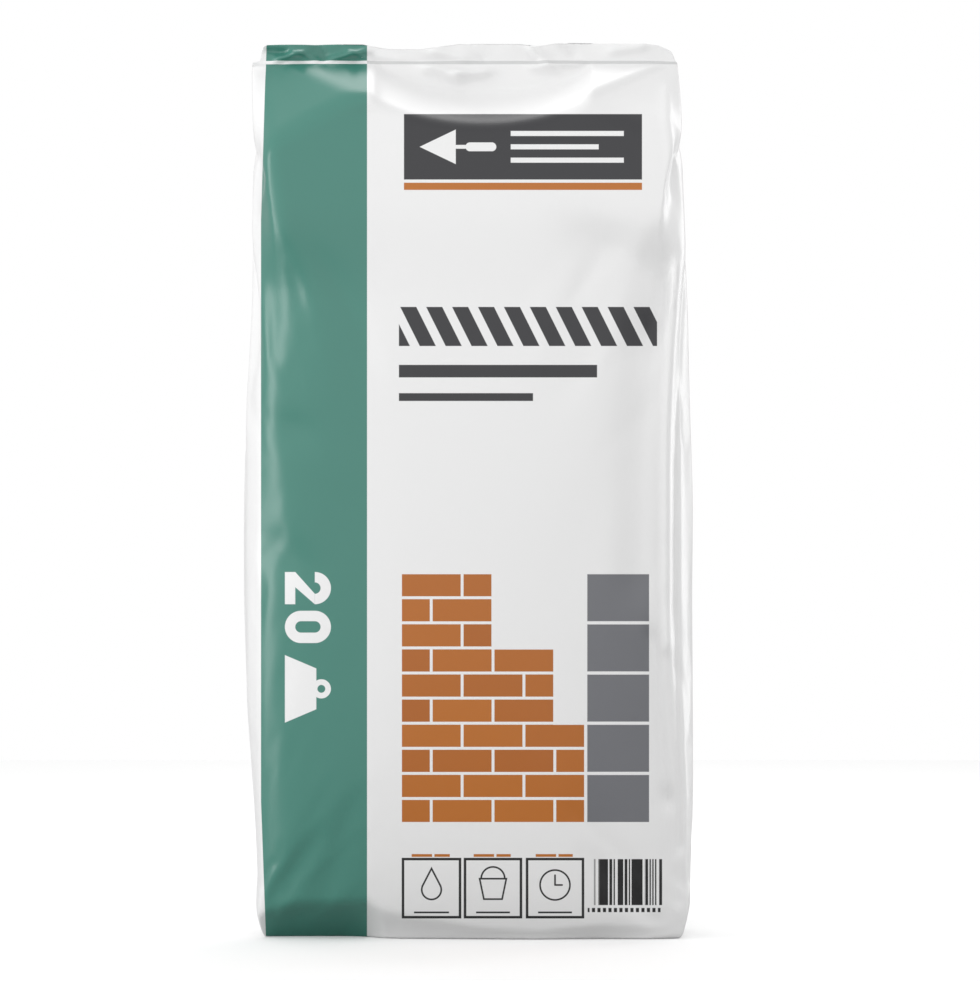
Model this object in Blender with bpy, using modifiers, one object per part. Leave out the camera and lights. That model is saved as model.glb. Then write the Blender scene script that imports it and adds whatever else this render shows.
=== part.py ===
"""A filled 20 kg cement bag, standing on its base.

The bag is one side-gusseted film sack, welded shut across its top, with a short
film fin left above the weld. It is one closed solid here, the sack with its fill.
Metres, +Z up, the printed face towards -Y, the origin at the middle of the base.
"""

import math
from dataclasses import dataclass

import bmesh
import bpy

# Heights above the floor.
WELD_HEIGHT = 0.5660
FIN_HEIGHT = 0.0120
TOP_HEIGHT = WELD_HEIGHT + FIN_HEIGHT

# The weld across the top, and the film fin that is left above it.
WELD_HALF_WIDTH = 0.1367
WELD_HALF_DEPTH = 0.0017
WELD_BAND = 0.0016
FIN_HALF_THICKNESS = 0.0009
FIN_END_SLOPE = 0.0055
# Where the fin comes out of the weld's band: bands above the weld's middle, and the share of the end slope.
FIN_FOOT_BANDS = 2.2
FIN_FOOT_SLOPE_SHARE = 0.3

# Each row is a level of the body: its height, how far its left and right sides reach, how far out the
# panels' folds and their middle lie, and how far the gussets stand out, or in where they are tucked.
BODY_LEVELS = (
    (0.000, 0.1330, 0.1385, 0.0310, 0.0320, 0.000),
    (0.004, 0.1345, 0.1405, 0.0350, 0.0490, 0.000),
    (0.010, 0.1360, 0.1425, 0.0360, 0.0490, 0.001),
    (0.020, 0.1365, 0.1440, 0.0370, 0.0500, 0.001),
    (0.035, 0.1365, 0.1445, 0.0375, 0.0520, 0.002),
    (0.060, 0.1370, 0.1450, 0.0380, 0.0560, 0.002),
    (0.110, 0.1400, 0.1463, 0.0400, 0.0605, 0.005),
    (0.160, 0.1440, 0.1463, 0.0410, 0.0625, 0.007),
    (0.220, 0.1462, 0.1460, 0.0410, 0.0635, 0.009),
    (0.280, 0.1455, 0.1460, 0.0410, 0.0635, 0.008),
    (0.340, 0.1400, 0.1435, 0.0400, 0.0625, 0.004),
    (0.400, 0.1370, 0.1410, 0.0390, 0.0605, 0.001),
    (0.430, 0.1375, 0.1410, 0.0380, 0.0585, -0.003),
    (0.460, 0.1390, 0.1405, 0.0360, 0.0565, -0.007),
    (0.485, 0.1395, 0.1400, 0.0340, 0.0550, -0.010),
    (0.505, 0.1395, 0.1400, 0.0320, 0.0540, -0.011),
    (0.520, 0.1395, 0.1395, 0.0280, 0.0540, -0.013),
    (0.532, 0.1400, 0.1395, 0.0220, 0.0540, -0.017),
    (0.541, 0.1400, 0.1390, 0.0175, 0.0540, -0.021),
    (0.549, 0.1400, 0.1380, 0.0125, 0.0540, -0.028),
    (0.556, 0.1398, 0.1370, 0.0075, 0.0540, -0.035),
    (0.561, 0.1390, 0.1367, 0.0040, 0.0540, -0.040),
)
# The filled panels are flat across their middle and round off towards the folds.
PANEL_SQUARENESS = 4.0

ACROSS_CELLS = 14
THROUGH_CELLS = 6
# How much closer the cells stand together near the folds.
CROWDING = 0.25
FOLD_CREASE = 0.30
SMOOTHING_LEVELS = 1


@dataclass(frozen=True)
class Panel:
    """A big panel's own forms, the front's or the back's."""

    # The hollow under the weld's middle, and the steep slope below it.
    hollow_centre: float
    hollow_half_width: float
    hollow_drop: float
    # Where the slack corners end at the weld, left and right.
    left_corner: float
    right_corner: float
    # Depth at the brow, where the slope ends, and the depth that the panel fills out to.
    brow_depth: float
    full_depth: float
    # Depth at the floor, and how high the panel turns under to it: places across and heights.
    base_depth: float
    turn: tuple


FRONT = Panel(
    hollow_centre=0.010,
    hollow_half_width=0.070,
    hollow_drop=0.0185,
    left_corner=0.113,
    right_corner=0.123,
    brow_depth=0.046,
    full_depth=0.066,
    base_depth=0.031,
    turn=((-0.126, 0.018), (-0.112, 0.026), (-0.070, 0.027), (-0.040, 0.016), (0.010, 0.010)),
)
BACK = Panel(
    hollow_centre=0.018,
    hollow_half_width=0.060,
    hollow_drop=0.014,
    left_corner=0.120,
    right_corner=0.110,
    brow_depth=0.040,
    full_depth=0.058,
    base_depth=0.032,
    turn=((-0.110, 0.014), (-0.050, 0.010), (0.000, 0.013), (0.060, 0.020), (0.110, 0.016)),
)

# Slopes of both shoulders, as depth for each metre down from the weld, and of their corners, also for each
# metre across.
HOLLOW_SLOPE = 0.16
SHOULDER_SLOPE = 1.75
CORNER_SLOPE = 0.95
CORNER_LEAN = 0.24
HOLLOW_FULLNESS = 0.7
# How far below the weld the brow lies, and how soon the panel fills out below it.
BROW_DROP = 0.037
FILL_OUT = 0.075
# Where the shoulder starts to shape the panel, and the height over which it comes in.
SHOULDER_FROM = 0.405
SHOULDER_BLEND = 0.065
# The share of the half-width beside each fold that the shoulder leaves as it is.
FOLD_SHARE = 0.11
# How soft the edges between the slopes, at the brow and at the foot's turn are.
SLOPE_ROUNDING = 0.004
BROW_ROUNDING = 0.008
TURN_ROUNDING = 0.35


def start_clean():
    """Removes whatever the scene holds."""
    for thing in list(bpy.data.objects):
        bpy.data.objects.remove(thing)


def film_material():
    """Satin white film, as on the sack's unprinted faces."""
    material = bpy.data.materials.new("white_film")
    material.use_nodes = True
    shader = material.node_tree.nodes["Principled BSDF"]
    shader.inputs["Base Color"].default_value = (0.82, 0.82, 0.82, 1.0)
    shader.inputs["Roughness"].default_value = 0.38
    shader.inputs["Metallic"].default_value = 0.0
    return material


def smooth_step(value):
    """Eases a share from 0 to 1."""
    share = min(max(value, 0.0), 1.0)
    return share * share * (3.0 - 2.0 * share)


def soft_lower(first, second, round_off):
    """The lower of two depths, rounded where they meet."""
    share = min(max(0.5 + 0.5 * (second - first) / round_off, 0.0), 1.0)
    return second + (first - second) * share - round_off * share * (1.0 - share)


def between(stops, place):
    """The value at a place on a line of stops, each a place and its value."""
    if place <= stops[0][0]:
        return stops[0][1]
    for (here, value), (there, after) in zip(stops, stops[1:]):
        if place <= there:
            return value + (after - value) * (place - here) / (there - here)
    return stops[-1][1]


def shoulder_depth(panel, x, z):
    """How far a panel stands out from the middle plane near the weld."""
    drop = max(WELD_HEIGHT - z, 0.0)
    inside = max(1.0 - ((x - panel.hollow_centre) / panel.hollow_half_width) ** 2, 0.0)
    hollow = WELD_HALF_DEPTH + HOLLOW_SLOPE * drop
    slope = WELD_HALF_DEPTH + SHOULDER_SLOPE * (drop - panel.hollow_drop * inside**HOLLOW_FULLNESS)
    left = WELD_HALF_DEPTH + CORNER_SLOPE * drop + CORNER_LEAN * (panel.left_corner + x)
    right = WELD_HALF_DEPTH + CORNER_SLOPE * drop + CORNER_LEAN * (panel.right_corner - x)
    filling = math.exp(-max(drop - BROW_DROP, 0.0) / FILL_OUT)
    brow = panel.full_depth - (panel.full_depth - panel.brow_depth) * filling
    slopes = soft_lower(max(hollow, slope), min(left, right), SLOPE_ROUNDING)
    return max(soft_lower(slopes, brow, BROW_ROUNDING), WELD_HALF_DEPTH)


def panel_depth(panel, across, x, level):
    """How far a panel stands out from the middle plane at one place of a level."""
    height, _, _, fold, middle, _ = level
    body = fold + (middle - fold) * (1.0 - abs(across) ** PANEL_SQUARENESS)
    near_top = smooth_step((height - SHOULDER_FROM) / SHOULDER_BLEND)
    off_folds = smooth_step((1.0 - abs(across)) / FOLD_SHARE)
    wanted = shoulder_depth(panel, x, height)
    shaped = body + (wanted - body) * near_top * off_folds
    share = soft_lower(height / between(panel.turn, x), 1.0, TURN_ROUNDING)
    return min(shaped, panel.base_depth + (shaped - panel.base_depth) * share)


def body_place(across, through, level):
    """A point of the body from its place across and through, each from -1 to 1, and its level."""
    height, left, right, _, _, swell = level
    fold_reach = (left if across < 0 else right) - max(swell, 0.0)
    across = across * (1.0 + CROWDING * (1.0 - across**2))
    x = across * fold_reach
    panel = FRONT if through < 0 else BACK
    y = through * panel_depth(panel, across, x, level)
    return x + across**3 * swell * (1 - through**2), y, height


def top_place(across, through, level):
    """A point of the weld's band or of the flat fin above it."""
    height, half_width, half_depth = level
    return across * half_width, through * half_depth, height


def top_levels():
    """The weld's band and the fin: heights, half-widths and half-depths."""
    fin_foot = WELD_HEIGHT + FIN_FOOT_BANDS * WELD_BAND
    return (
        (WELD_HEIGHT - WELD_BAND, WELD_HALF_WIDTH, WELD_HALF_DEPTH),
        (WELD_HEIGHT + WELD_BAND, WELD_HALF_WIDTH, WELD_HALF_DEPTH),
        (fin_foot, WELD_HALF_WIDTH - FIN_FOOT_SLOPE_SHARE * FIN_END_SLOPE, FIN_HALF_THICKNESS),
        (TOP_HEIGHT, WELD_HALF_WIDTH - FIN_END_SLOPE, FIN_HALF_THICKNESS),
    )


def cut_block(level_steps):
    """A block from -1 to 1 each way, cut into even cells across and through, and at even steps upwards."""
    block = bmesh.new()
    bmesh.ops.create_cube(block, size=2.0)
    for axis, cells in enumerate((ACROSS_CELLS, THROUGH_CELLS, level_steps)):
        for i in range(1, cells):
            point = [0.0, 0.0, 0.0]
            normal = [0.0, 0.0, 0.0]
            point[axis] = -1 + 2 * i / cells
            normal[axis] = 1.0
            everything = block.verts[:] + block.edges[:] + block.faces[:]
            bmesh.ops.bisect_plane(block, geom=everything, plane_co=point, plane_no=normal)
    return block


def crease_folds(block):
    """Keeps the four upright folds between panels and gussets firmer than the film beside them."""
    crease = block.edges.layers.float.new("crease_edge")
    for edge in block.edges:
        if all(abs(vert.co.x) > 0.999 and abs(vert.co.y) > 0.999 for vert in edge.verts):
            edge[crease] = FOLD_CREASE


def shape_sack(block, tops):
    """Moves the block's points onto the sack's surface, level by level."""
    steps = len(BODY_LEVELS) + len(tops) - 1
    for vert in block.verts:
        row = round((vert.co.z + 1) * steps / 2)
        if row < len(BODY_LEVELS):
            vert.co = body_place(vert.co.x, vert.co.y, BODY_LEVELS[row])
        else:
            vert.co = top_place(vert.co.x, vert.co.y, tops[row - len(BODY_LEVELS)])


def build_sack(collection):
    """The whole filled sack as one object."""
    tops = top_levels()
    block = cut_block(len(BODY_LEVELS) + len(tops) - 1)
    crease_folds(block)
    shape_sack(block, tops)
    mesh = bpy.data.meshes.new("filled_sack")
    block.to_mesh(mesh)
    block.free()
    mesh.materials.append(film_material())
    mesh.shade_smooth()
    sack = bpy.data.objects.new("filled_sack", mesh)
    collection.objects.link(sack)
    smoothing = sack.modifiers.new("rounded_film", "SUBSURF")
    smoothing.levels = SMOOTHING_LEVELS
    smoothing.render_levels = SMOOTHING_LEVELS


def main():
    """Models the bag in a collection of its own."""
    start_clean()
    collection = bpy.data.collections.new("cement_bag")
    bpy.context.scene.collection.children.link(collection)
    build_sack(collection)


main()
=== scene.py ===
"""The looks of a filled 20 kg cement bag: its film sack with weld, fin and gussets, and the studio."""

import logging
import math
from collections.abc import Callable
from dataclasses import dataclass, field
from enum import Enum

import bpy
import numpy as np
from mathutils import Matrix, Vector


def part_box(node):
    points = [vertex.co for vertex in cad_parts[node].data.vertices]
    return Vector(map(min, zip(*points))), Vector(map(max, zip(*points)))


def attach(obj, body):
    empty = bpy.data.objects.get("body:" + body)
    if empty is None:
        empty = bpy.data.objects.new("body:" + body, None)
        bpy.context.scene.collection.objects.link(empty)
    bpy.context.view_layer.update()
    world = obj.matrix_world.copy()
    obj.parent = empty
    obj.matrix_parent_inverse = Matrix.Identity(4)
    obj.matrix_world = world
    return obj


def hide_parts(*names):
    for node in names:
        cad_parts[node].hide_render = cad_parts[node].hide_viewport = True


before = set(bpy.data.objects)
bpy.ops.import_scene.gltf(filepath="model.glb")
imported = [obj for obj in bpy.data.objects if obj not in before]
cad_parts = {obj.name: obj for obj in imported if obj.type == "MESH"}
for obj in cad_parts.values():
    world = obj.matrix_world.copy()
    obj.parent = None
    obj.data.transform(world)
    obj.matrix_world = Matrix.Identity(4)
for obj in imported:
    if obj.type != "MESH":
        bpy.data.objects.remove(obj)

logger = logging.getLogger("cement_bag")

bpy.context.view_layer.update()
SACK_NODE = "filled_sack"
AT_FOLD = 0.9999
ON_PANEL = 0.999
HAIR = 1e-4
WHITE = (1.0, 1.0, 1.0, 1.0)

Place = tuple[float, float]
Point = tuple[float, float, float]
Box = tuple[float, float, float, float]
Colour = tuple[float, float, float, float]
Stops = tuple[tuple[float, ...], ...]
Spread = Callable[[np.ndarray, np.ndarray], tuple[np.ndarray, np.ndarray, np.ndarray]]
Socket = bpy.types.NodeSocket


def smooth_step(value: np.ndarray) -> np.ndarray:
    """Eases a share from 0 to 1, flat at both ends and beyond them."""
    share = np.clip(value, 0.0, 1.0)
    return share * share * (3.0 - 2.0 * share)


def soft_lower(first: np.ndarray, second: np.ndarray, round_off: float) -> np.ndarray:
    """The lower of two surfaces, rounded where they meet.

    Args:
        first: One surface.
        second: The other surface.
        round_off: How far apart the surfaces are where the rounding starts.

    Returns:
        The blended surface.
    """
    share = np.clip(0.5 + 0.5 * (second - first) / round_off, 0.0, 1.0)
    return second + (first - second) * share - round_off * share * (1.0 - share)


def soft_upper(first: np.ndarray, second: np.ndarray, round_off: float) -> np.ndarray:
    """The upper of two surfaces, rounded where they meet."""
    return -soft_lower(-first, -second, round_off)


def closer_at_ends(share: np.ndarray, amount: float) -> np.ndarray:
    """Spreads even shares from -1 to 1 so that they stand closer together near both ends."""
    return share * (1.0 + amount * (1.0 - share**2))


@dataclass(frozen=True)
class SackSizes:
    """Sizes of the sack in metres, up from the floor and out from its middle planes."""

    half_width: float
    half_depth: float
    height: float
    fin_height: float = 0.012
    fin_end_slope: float = 0.0030
    weld_half_width: float = 0.1367
    panel_half_width: float = 0.1410
    gusset_width: float = 0.104
    ply_thickness: float = 0.0004
    closed_plies: float = 1.5
    tuck_bend: float = 2.2

    @classmethod
    def from_frame(cls, node: str) -> "SackSizes":
        """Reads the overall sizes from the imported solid.

        Args:
            node: The solid's node name.

        Returns:
            The sack's sizes.
        """
        _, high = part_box(node)
        return cls(half_width=high[0], half_depth=high[1], height=high[2])

    @property
    def weld_height(self) -> float:
        """Height of the weld's middle line."""
        return self.height - self.fin_height

    def near_folds(self, across: np.ndarray) -> np.ndarray:
        """Places across, from -1 to 1, eased so that they grow mostly near the folds."""
        return np.sign(across) * np.abs(across) ** self.tuck_bend


@dataclass(frozen=True)
class FilledForm:
    """The filled shape that the film is laid out on before it settles.

    Each level is a height, then shares of the half-width, half-depth, panel crown and gusset bulge.
    """

    sizes: SackSizes
    crown: float = 0.0065
    fall: float = 0.0120
    bulge: float = 0.0040
    tuck_from: float = 0.500
    least_depth: float = 0.0006
    fine_steps: int = 600
    ease_reach: int = 20
    ease_spread: float = 4.0
    levels: Stops = (
        (0.000, 0.920, 0.720, 0.00, 0.00),
        (0.008, 0.948, 0.800, 0.20, 0.10),
        (0.022, 0.960, 0.855, 0.50, 0.25),
        (0.050, 0.960, 0.875, 0.80, 0.45),
        (0.110, 0.967, 0.890, 1.00, 0.75),
        (0.180, 0.971, 0.890, 1.05, 1.00),
        (0.260, 0.973, 0.880, 1.00, 1.10),
        (0.340, 0.968, 0.870, 0.95, 0.90),
        (0.410, 0.960, 0.860, 0.90, 0.60),
        (0.465, 0.955, 0.845, 0.80, 0.40),
        (0.498, 0.952, 0.810, 0.70, 0.20),
        (0.521, 0.952, 0.745, 0.60, 0.00),
        (0.533, 0.952, 0.660, 0.45, 0.00),
        (0.544, 0.950, 0.470, 0.25, 0.00),
        (0.556, 0.945, 0.180, 0.08, 0.00),
        (0.566, 0.9375, 0.010, 0.00, 0.00),
    )

    def share(self, column: int, height: np.ndarray) -> np.ndarray:
        """One of the levels' shares, eased between levels.

        Args:
            column: Which share, counted from 1.
            height: Heights above the floor.

        Returns:
            The share at each height.
        """
        rows = np.array(self.levels)
        fine = np.linspace(0.0, self.sizes.weld_height, self.fine_steps)
        values = np.interp(fine, rows[:, 0], rows[:, column])
        reach = self.ease_reach
        kernel = np.exp(-0.5 * (np.arange(-reach, reach + 1) / self.ease_spread) ** 2)
        before = 2 * values[0] - values[reach:0:-1]
        after = 2 * values[-1] - values[-2 : -reach - 2 : -1]
        eased = np.convolve(np.concatenate([before, values, after]), kernel / kernel.sum(), "valid")
        return np.interp(height, fine, eased)

    def place(self, across: np.ndarray, through: np.ndarray, height: np.ndarray) -> np.ndarray:
        """Points on the filled shape.

        Args:
            across: From -1 at the left fold to 1 at the right.
            through: From -1 at the front to 1 at the back.
            height: Heights above the floor.

        Returns:
            The points, one row each.
        """
        width = self.sizes.half_width * self.share(1, height)
        depth = np.maximum(self.sizes.half_depth * self.share(2, height), self.least_depth)
        crown = self.crown * self.share(3, height)
        fall = self.fall * self.share(2, height)
        closing = np.clip((height - self.tuck_from) / (self.sizes.weld_height - self.tuck_from), 0, 1)
        tuck = 0.5 * self.sizes.gusset_width * closing**1.5 * (1 - np.abs(through))
        swell = self.bulge * self.share(4, height) * (1 - through**2) - tuck
        x = across * width + self.sizes.near_folds(across) * swell
        y = through * (depth + crown * (1 - across**2) - fall * across**6)
        return np.stack([x, y, height], -1)


@dataclass(frozen=True)
class Crease:
    """One soft fold or dent on a big panel, seen square on.

    It runs from start to end, each a place across and a height, and stands out by its lift or in if that is
    below 0. A lean from -1 to 1 makes one side steeper than the other.
    """

    start: Place
    end: Place
    half_width: float
    lift: float
    lean: float = 0.0
    end_reach: float = 1.6

    def rise(self, x: np.ndarray, z: np.ndarray) -> np.ndarray:
        """How far the film stands out.

        Args:
            x: Places across.
            z: Heights.

        Returns:
            The rise at each place.
        """
        run = np.array(self.end) - np.array(self.start)
        length = max(float(np.hypot(*run)), 1e-6)
        run = run / length
        along = (x - self.start[0]) * run[0] + (z - self.start[1]) * run[1]
        aside = (x - self.start[0]) * run[1] - (z - self.start[1]) * run[0]
        beyond = along - np.clip(along, 0.0, length)
        width = self.half_width * (1.0 + self.lean * np.tanh(aside / self.half_width))
        past_end = beyond / (self.end_reach * self.half_width)
        return self.lift * np.exp(-((aside / width) ** 2) - past_end**2)


@dataclass(frozen=True)
class FoldFacet:
    """A strip beside one fold of a big panel that slopes back to the fold, with a wavy inner edge.

    Each stop is a height, lowest first, with the inner edge's place across there and the slope outside it.
    """

    side: int
    stops: Stops
    round_off: float = 0.005
    widest: float = 0.030

    def rise(self, x: np.ndarray, z: np.ndarray) -> np.ndarray:
        """How far the film stands out, which is below 0 on the strip.

        Args:
            x: Places across.
            z: Heights.

        Returns:
            The rise at each place.
        """
        stops = np.array(self.stops)
        beyond = self.side * (x - np.interp(z, stops[:, 0], stops[:, 1]))
        beyond = np.minimum(soft_upper(beyond, np.zeros_like(x), self.round_off), self.widest)
        return -np.interp(z, stops[:, 0], stops[:, 2]) * beyond


@dataclass(frozen=True)
class Shoulder:
    """How a big panel comes out from under the weld, seen square on.

    A shallow hollow lies under the weld's middle, a steep slope under that, and a slack corner on each
    side.
    """

    weld_height: float
    start_depth: float = 0.0015
    hollow_centre: float = 0.010
    hollow_half_width: float = 0.070
    hollow_drop: float = 0.0185
    hollow_slope: float = 0.16
    slope: float = 1.75
    left_corner: float = 0.1137
    right_corner: float = 0.1248
    corner_slope: float = 0.95
    left_lean: float = 0.46
    right_lean: float = 0.34
    brow_depth: float = 0.046
    full_depth: float = 0.066
    brow_drop: float = 0.037
    fill_out: float = 0.075
    least_depth: float = 0.0012
    hollow_round: float = 0.003
    corner_round: float = 0.002
    slope_round: float = 0.004
    brow_round: float = 0.008

    def depth(self, x: np.ndarray, z: np.ndarray) -> np.ndarray:
        """Depth of the film out from the middle plane.

        Args:
            x: Places across.
            z: Heights.

        Returns:
            The depth at each place.
        """
        drop = np.maximum(self.weld_height - z, 0.0)
        inside = np.clip(1.0 - ((x - self.hollow_centre) / self.hollow_half_width) ** 2, 0.0, 1.0)
        hollow = self.start_depth + self.hollow_slope * drop
        middle = self.start_depth + self.slope * (drop - self.hollow_drop * inside**0.7)
        middle = soft_upper(hollow, middle, self.hollow_round)
        left = self.start_depth + self.corner_slope * drop + self.left_lean * (self.left_corner + x)
        right = self.start_depth + self.corner_slope * drop + self.right_lean * (self.right_corner - x)
        filling = np.exp(-np.maximum(drop - self.brow_drop, 0.0) / self.fill_out)
        front = self.full_depth - (self.full_depth - self.brow_depth) * filling
        slopes = soft_lower(middle, soft_lower(left, right, self.corner_round), self.slope_round)
        return np.maximum(soft_lower(slopes, front, self.brow_round), self.least_depth)


@dataclass(frozen=True)
class BottomTurn:
    """How a big panel turns under to the floor.

    Each stop is a place across, the height where the turn starts there, and the depth at the floor. The
    rounding is a share of the turn's height.
    """

    stops: Stops
    round_off: float = 0.14

    def depth(self, x: np.ndarray, z: np.ndarray, full: np.ndarray) -> np.ndarray:
        """Depth of the film where it turns under.

        Args:
            x: Places across.
            z: Heights.
            full: The panel's depth above the turn.

        Returns:
            The depth at each place.
        """
        stops = np.array(self.stops)
        turn = np.interp(x, stops[:, 0], stops[:, 1])
        at_floor = np.interp(x, stops[:, 0], stops[:, 2])
        share = soft_lower(z / turn, np.ones_like(z), self.round_off)
        return at_floor + (full - at_floor) * share


@dataclass(frozen=True)
class PanelForm:
    """The forms of one big panel, the front or the back."""

    facing: int
    shoulder: Shoulder
    bottom: BottomTurn
    creases: tuple[Crease | FoldFacet, ...]
    shoulder_share: float = 1.0
    shoulder_to: float = 0.405
    shoulder_blend: float = 0.065
    edge_share: float = 0.11
    crease_end: float = 0.003


@dataclass(frozen=True)
class FinForm:
    """The loose fin over the weld: its plies wave together, part a little and slump in places."""

    sizes: SackSizes
    rim: Stops = (
        (-0.1340, -0.0014),
        (-0.1310, -0.0002),
        (-0.068, 0.0),
        (-0.052, -0.0030),
        (-0.030, -0.0032),
        (-0.006, 0.0005),
        (0.033, 0.0005),
        (0.045, -0.0012),
        (0.058, 0.0008),
        (0.115, 0.0006),
        (0.124, -0.0006),
        (0.133, -0.0045),
    )
    swing: float = 0.0016
    gap: float = 0.0030
    ply_room: float = 0.0018
    start: float = 0.006
    part_to: float = 0.55
    part_fade: float = 0.35
    front_band: float = 0.15
    swing_waves: tuple[float, ...] = (0.083, 0.047, 0.029)
    gap_waves: tuple[float, ...] = (0.061, 0.036, 0.023)
    folds: tuple[Crease, ...] = (
        Crease((-0.1220, 0.5685), (-0.1080, 0.5725), 0.0022, 0.0042),
        Crease((-0.1120, 0.5725), (-0.0990, 0.5675), 0.0019, 0.0034),
        Crease((-0.0900, 0.5675), (-0.0670, 0.5735), 0.0023, 0.0044),
        Crease((-0.0760, 0.5730), (-0.0660, 0.5680), 0.0019, 0.0034),
        Crease((-0.0975, 0.5750), (-0.0930, 0.5690), 0.0036, -0.0024),
        Crease((-0.1290, 0.5740), (-0.1200, 0.5730), 0.0022, -0.0028),
        Crease((-0.0550, 0.5710), (-0.0460, 0.5690), 0.0034, 0.0016),
        Crease((-0.0200, 0.5740), (-0.0040, 0.5690), 0.0034, 0.0026),
        Crease((0.0000, 0.5780), (0.0100, 0.5680), 0.0026, -0.0018),
        Crease((0.0420, 0.5750), (0.0520, 0.5650), 0.0030, 0.0040),
        Crease((0.0520, 0.5650), (0.0700, 0.5650), 0.0028, 0.0034),
        Crease((0.0620, 0.5770), (0.0680, 0.5710), 0.0028, -0.0020),
        Crease((0.0960, 0.5740), (0.1120, 0.5760), 0.0030, 0.0020),
    )

    @staticmethod
    def ripple(x: np.ndarray, lengths: tuple[float, ...], start: float) -> np.ndarray:
        """An uneven ripple from -1 to 1 made of a few waves.

        Args:
            x: Places across.
            lengths: Each wave's length.
            start: Where the waves start.

        Returns:
            The ripple.
        """
        waves = [np.sin(2.0 * math.pi * x / length + start * (1 + i)) for i, length in enumerate(lengths)]
        return sum(waves) / len(waves)

    def shape(self, points: np.ndarray, spot: np.ndarray) -> None:
        """Waves and parts the fin's plies.

        Args:
            points: The film's points, moved in place.
            spot: Each point's place on the film.
        """
        weld = self.sizes.weld_height
        risen = np.clip((points[:, 2] - weld) / self.sizes.fin_height, 0.0, 1.0)
        x = points[:, 0].copy()
        rim = np.array(self.rim)
        inside = 1.0 - smooth_step((np.abs(spot[:, 0]) - self.part_to) / self.part_fade)
        swing = self.swing * self.ripple(x, self.swing_waves, 1.3)
        gap = self.gap * (0.55 + 0.45 * self.ripple(x, self.gap_waves, 2.1)) * inside
        front = smooth_step((self.front_band - spot[:, 1]) / (2.0 * self.front_band))
        ply = 0.5 * gap * (1.0 - 2.0 * front)
        folds = sum(fold.rise(x, points[:, 2]) for fold in self.folds)
        near = smooth_step((points[:, 2] - weld + self.start) / self.start)
        from_fold = np.minimum((1.0 - np.abs(spot[:, 1])) * 8.0, 1.0)
        behind = self.ply_room * from_fold * (spot[:, 1] < 0.0) * risen**0.5
        share = np.where(folds > 0.0, (spot[:, 1] < self.front_band) * (0.35 + 0.65 * front), 1.0)
        points[:, 1] += risen**1.2 * (swing + ply) + behind - folds * near * share
        points[:, 2] += risen * np.interp(x, rim[:, 0], rim[:, 1])


@dataclass(frozen=True)
class Outline:
    """The sack's side outlines seen from the front: heights and each side's reach from the middle."""

    left: Stops = (
        (0.000, 0.1335),
        (0.009, 0.1372),
        (0.054, 0.1369),
        (0.087, 0.1388),
        (0.152, 0.1434),
        (0.217, 0.1453),
        (0.282, 0.1453),
        (0.347, 0.1434),
        (0.412, 0.1401),
        (0.477, 0.1399),
        (0.509, 0.1388),
        (0.542, 0.1400),
        (0.562, 0.1405),
    )
    right: Stops = (
        (0.000, 0.1395),
        (0.009, 0.1443),
        (0.054, 0.1453),
        (0.087, 0.1468),
        (0.152, 0.1465),
        (0.217, 0.1460),
        (0.282, 0.1465),
        (0.347, 0.1446),
        (0.412, 0.1433),
        (0.477, 0.1407),
        (0.509, 0.1394),
        (0.542, 0.1388),
        (0.562, 0.1368),
    )
    viewing_distance: float = 2.8
    viewing_side: float = 0.0146
    bands: int = 110
    band_reach: float = 0.004
    even_over: int = 5

    def fit(self, points: np.ndarray, top: float) -> None:
        """Draws each side in or out to its outline, less and less towards the middle.

        Args:
            points: The film's points, moved in place.
            top: Height where the fit ends.
        """
        levels = np.linspace(0.0, top, self.bands)
        nearer = self.viewing_distance / (self.viewing_distance + points[:, 1])
        seen = self.viewing_side + (points[:, 0] - self.viewing_side) * nearer
        below = points[:, 2] <= top + 0.001
        for side, outline in ((-1.0, self.left), (1.0, self.right)):
            stops = np.array(outline)
            bands = (below & (np.abs(points[:, 2] - level) < self.band_reach) for level in levels)
            reach = np.array([np.max(side * seen[band]) for band in bands])
            short = np.interp(levels, stops[:, 0], stops[:, 1]) - reach
            even = np.full(self.even_over, 1.0 / self.even_over)
            short = np.convolve(np.pad(short, self.even_over // 2, mode="edge"), even, "valid")
            share = np.clip(side * points[:, 0] / np.interp(points[:, 2], levels, reach), 0.0, 1.0)
            move = np.interp(points[:, 2], levels, short) * share**3 * below
            points[:, 0] += side * move


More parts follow.
